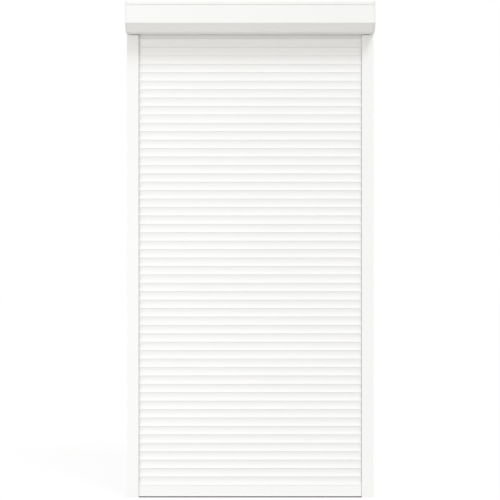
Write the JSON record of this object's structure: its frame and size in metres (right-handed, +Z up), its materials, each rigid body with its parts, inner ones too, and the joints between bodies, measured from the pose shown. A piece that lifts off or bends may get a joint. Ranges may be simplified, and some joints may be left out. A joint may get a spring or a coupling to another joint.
{
  "type": "exterior roller shutter",
  "caption": "White exterior roller shutter, closed: 45 degree box, hooked slats, two guide rails, bottom bar with seal; a motor-driven shaft winds the curtain up into the box.",
  "frame": {"origin": "on the wall plane behind the guide rails, at sill height, in the middle of the width", "axes": "+X to the right as seen from outside, +Y into the wall, +Z up; the front faces -Y"},
  "size_m": [1.2, 0.15, 2.4],
  "materials": {
    "slat_paint": "satin",
    "bar_paint": "satin",
    "rail_paint": "satin",
    "cap_paint": "satin",
    "box_paint": "satin",
    "rivet_paint": "satin",
    "seal_rubber": "matte",
    "rail_seal": "matte",
    "black_rubber": "matte",
    "grey_plastic": "matte",
    "black_plastic": "satin",
    "galvanised_steel": "satin",
    "zinc_steel": "satin",
    "bright_steel": "polished",
    "motor_steel": "satin"
  },
  "bodies": {
    "frame": {"guide_left": "rail_paint", "guide_right": "rail_paint", "guide_seals_left": "rail_seal", "guide_seals_right": "rail_seal", "guide_inlet_left": "grey_plastic", "guide_inlet_right": "grey_plastic", "guide_foot_left": "grey_plastic", "guide_foot_right": "grey_plastic", "end_cap_left": "cap_paint", "end_cap_right": "cap_paint", "box_rear_panel": "box_paint", "box_top_cover": "box_paint", "box_front_cover": "box_paint", "cover_screws": "zinc_steel", "cover_rivets": "rivet_paint", "cable_grommet": "black_rubber", "motor_tube": "motor_steel", "motor_gearbox": "bright_steel", "motor_head": "black_plastic", "motor_lock_clip": "zinc_steel", "motor_bracket": "zinc_steel", "bearing_bracket": "zinc_steel", "bracket_screws": "zinc_steel", "bearing_outer_race": "bright_steel"},
    "bottom_bar": {"bottom_bar": "bar_paint", "bottom_seal": "seal_rubber", "bottom_bar_end_caps": "grey_plastic"},
    "slats_01": {"slats_01": "slat_paint"},
    "slats_02": {"slats_02": "slat_paint"},
    "slats_03": {"slats_03": "slat_paint"},
    "slats_04": {"slats_04": "slat_paint"},
    "slats_05": {"slats_05": "slat_paint"},
    "slats_06": {"slats_06": "slat_paint"},
    "slats_07": {"slats_07": "slat_paint"},
    "slats_08": {"slats_08": "slat_paint"},
    "slats_09": {"slats_09": "slat_paint"},
    "slats_10": {"slats_10": "slat_paint"},
    "slats_11": {"slats_11": "slat_paint"},
    "slats_12": {"slats_12": "slat_paint"},
    "slats_13": {"slats_13": "slat_paint"},
    "slats_14": {"slats_14": "slat_paint"},
    "slats_15": {"slats_15": "slat_paint"},
    "slats_16": {"slats_16": "slat_paint"},
    "slats_17": {"slats_17": "slat_paint"},
    "slats_18": {"slats_18": "slat_paint"},
    "winding_shaft": {"octagonal_shaft": "galvanised_steel", "idler_plug": "black_plastic", "idler_pin": "bright_steel", "drive_wheel": "black_plastic", "motor_crown": "black_plastic", "motor_output_shaft": "bright_steel", "bearing_inner_race": "bright_steel", "hanger_clips": "black_plastic", "hanger_upper_links": "black_plastic", "hanger_lower_links": "black_plastic", "hanger_pins": "bright_steel"},
    "bearing_cage": {"bearing_balls": "bright_steel", "bearing_cage": "black_plastic"}
  },
  "joints": [
    {"name": "curtain_lift", "type": "slide", "parent": "frame", "child": "bottom_bar", "axis": [0, 0, 1], "range_m": [0, 2.2], "deforming": ["slats_01", "slats_02", "slats_03", "slats_04", "slats_05", "slats_06", "slats_07", "slats_08", "slats_09", "slats_10", "slats_11", "slats_12", "slats_13", "slats_14", "slats_15", "slats_16", "slats_17", "slats_18", "hanger_upper_links", "hanger_lower_links", "hanger_pins"]},
    {"name": "slats_01_lift", "type": "slide", "parent": "frame", "child": "slats_01", "axis": [0, 0, 1], "range_m": [-0.005, 2.205]},
    {"name": "slats_02_lift", "type": "slide", "parent": "frame", "child": "slats_02", "axis": [0, 0, 1], "range_m": [-0.005, 2.082]},
    {"name": "slats_03_lift", "type": "slide", "parent": "frame", "child": "slats_03", "axis": [0, 0, 1], "range_m": [-0.005, 1.959]},
    {"name": "slats_04_lift", "type": "slide", "parent": "frame", "child": "slats_04", "axis": [0, 0, 1], "range_m": [-0.005, 1.836]},
    {"name": "slats_05_lift", "type": "slide", "parent": "frame", "child": "slats_05", "axis": [0, 0, 1], "range_m": [-0.005, 1.713]},
    {"name": "slats_06_lift", "type": "slide", "parent": "frame", "child": "slats_06", "axis": [0, 0, 1], "range_m": [-0.005, 1.59]},
    {"name": "slats_07_lift", "type": "slide", "parent": "frame", "child": "slats_07", "axis": [0, 0, 1], "range_m": [-0.005, 1.467]},
    {"name": "slats_08_lift", "type": "slide", "parent": "frame", "child": "slats_08", "axis": [0, 0, 1], "range_m": [-0.005, 1.344]},
    {"name": "slats_09_lift", "type": "slide", "parent": "frame", "child": "slats_09", "axis": [0, 0, 1], "range_m": [-0.005, 1.221]},
    {"name": "slats_10_lift", "type": "slide", "parent": "frame", "child": "slats_10", "axis": [0, 0, 1], "range_m": [-0.005, 1.098]},
    {"name": "slats_11_lift", "type": "slide", "parent": "frame", "child": "slats_11", "axis": [0, 0, 1], "range_m": [-0.005, 0.975]},
    {"name": "slats_12_lift", "type": "slide", "parent": "frame", "child": "slats_12", "axis": [0, 0, 1], "range_m": [-0.005, 0.852]},
    {"name": "slats_13_lift", "type": "slide", "parent": "frame", "child": "slats_13", "axis": [0, 0, 1], "range_m": [-0.005, 0.729]},
    {"name": "slats_14_lift", "type": "slide", "parent": "frame", "child": "slats_14", "axis": [0, 0, 1], "range_m": [-0.005, 0.606]},
    {"name": "slats_15_lift", "type": "slide", "parent": "frame", "child": "slats_15", "axis": [0, 0, 1], "range_m": [-0.005, 0.483]},
    {"name": "slats_16_lift", "type": "slide", "parent": "frame", "child": "slats_16", "axis": [0, 0, 1], "range_m": [-0.005, 0.36]},
    {"name": "slats_17_lift", "type": "slide", "parent": "frame", "child": "slats_17", "axis": [0, 0, 1], "range_m": [-0.005, 0.237]},
    {"name": "slats_18_lift", "type": "slide", "parent": "frame", "child": "slats_18", "axis": [0, 0, 1], "range_m": [-0.005, 0.114]},
    {"name": "shaft_spin", "type": "hinge", "parent": "frame", "child": "winding_shaft", "pos_m": [0, -0.075, 2.32675], "axis": [1, 0, 0], "range_deg": [-10, 2620]},
    {"name": "cage_spin", "type": "hinge", "parent": "frame", "child": "bearing_cage", "pos_m": [0, -0.075, 2.32675], "axis": [1, 0, 0], "range_deg": [-10, 1001.8]}
  ],
  "couplings": [
    {"joint": "slats_01_lift", "follows": "curtain_lift", "ratio": 1},
    {"joint": "slats_02_lift", "follows": "curtain_lift", "ratio": 0.94409},
    {"joint": "slats_03_lift", "follows": "curtain_lift", "ratio": 0.88818},
    {"joint": "slats_04_lift", "follows": "curtain_lift", "ratio": 0.83227},
    {"joint": "slats_05_lift", "follows": "curtain_lift", "ratio": 0.77636},
    {"joint": "slats_06_lift", "follows": "curtain_lift", "ratio": 0.72045},
    {"joint": "slats_07_lift", "follows": "curtain_lift", "ratio": 0.66455},
    {"joint": "slats_08_lift", "follows": "curtain_lift", "ratio": 0.60864},
    {"joint": "slats_09_lift", "follows": "curtain_lift", "ratio": 0.55273},
    {"joint": "slats_10_lift", "follows": "curtain_lift", "ratio": 0.49682},
    {"joint": "slats_11_lift", "follows": "curtain_lift", "ratio": 0.44091},
    {"joint": "slats_12_lift", "follows": "curtain_lift", "ratio": 0.385},
    {"joint": "slats_13_lift", "follows": "curtain_lift", "ratio": 0.32909},
    {"joint": "slats_14_lift", "follows": "curtain_lift", "ratio": 0.27318},
    {"joint": "slats_15_lift", "follows": "curtain_lift", "ratio": 0.21727},
    {"joint": "slats_16_lift", "follows": "curtain_lift", "ratio": 0.16136},
    {"joint": "slats_17_lift", "follows": "curtain_lift", "ratio": 0.10545},
    {"joint": "slats_18_lift", "follows": "curtain_lift", "ratio": 0.049545},
    {"joint": "shaft_spin", "follows": "curtain_lift", "rad_per_m": 20.706},
    {"joint": "cage_spin", "follows": "curtain_lift", "rad_per_m": 7.8683}
  ]
}
